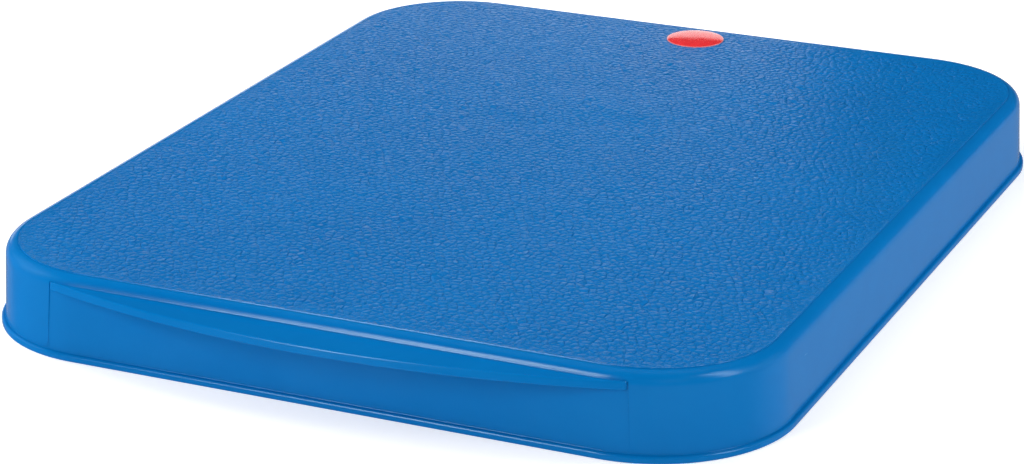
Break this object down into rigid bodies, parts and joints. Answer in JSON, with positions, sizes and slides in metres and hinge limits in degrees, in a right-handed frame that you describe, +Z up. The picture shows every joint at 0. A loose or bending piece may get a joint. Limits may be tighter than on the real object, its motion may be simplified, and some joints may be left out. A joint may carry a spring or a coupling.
{
  "type": "container lid",
  "caption": "Loose moulded plastic lid with a grained top, rounded corners, a finger ledge at the front and a round badge at the rear.",
  "frame": {"origin": "centre of the bounding box at the bottom face of the rim, where the lid rests", "axes": "+Z up out of the grained top, +Y to the rear where the badge is, -Y to the front where the finger ledge is, X across"},
  "size_m": [0.408, 0.5245, 0.0434],
  "materials": {
    "shell": "moulded polypropylene: satin skirt and border, leather-grained top",
    "badge_adhesive": "pressure-sensitive adhesive pad",
    "badge_film": "plain red printed film, no lettering",
    "badge_dome": "clear cast resin dome"
  },
  "bodies": {
    "root": {"lid_shell": "shell", "badge_adhesive": "badge_adhesive", "badge_film": "badge_film", "badge_dome": "badge_dome"}
  },
  "joints": []
}
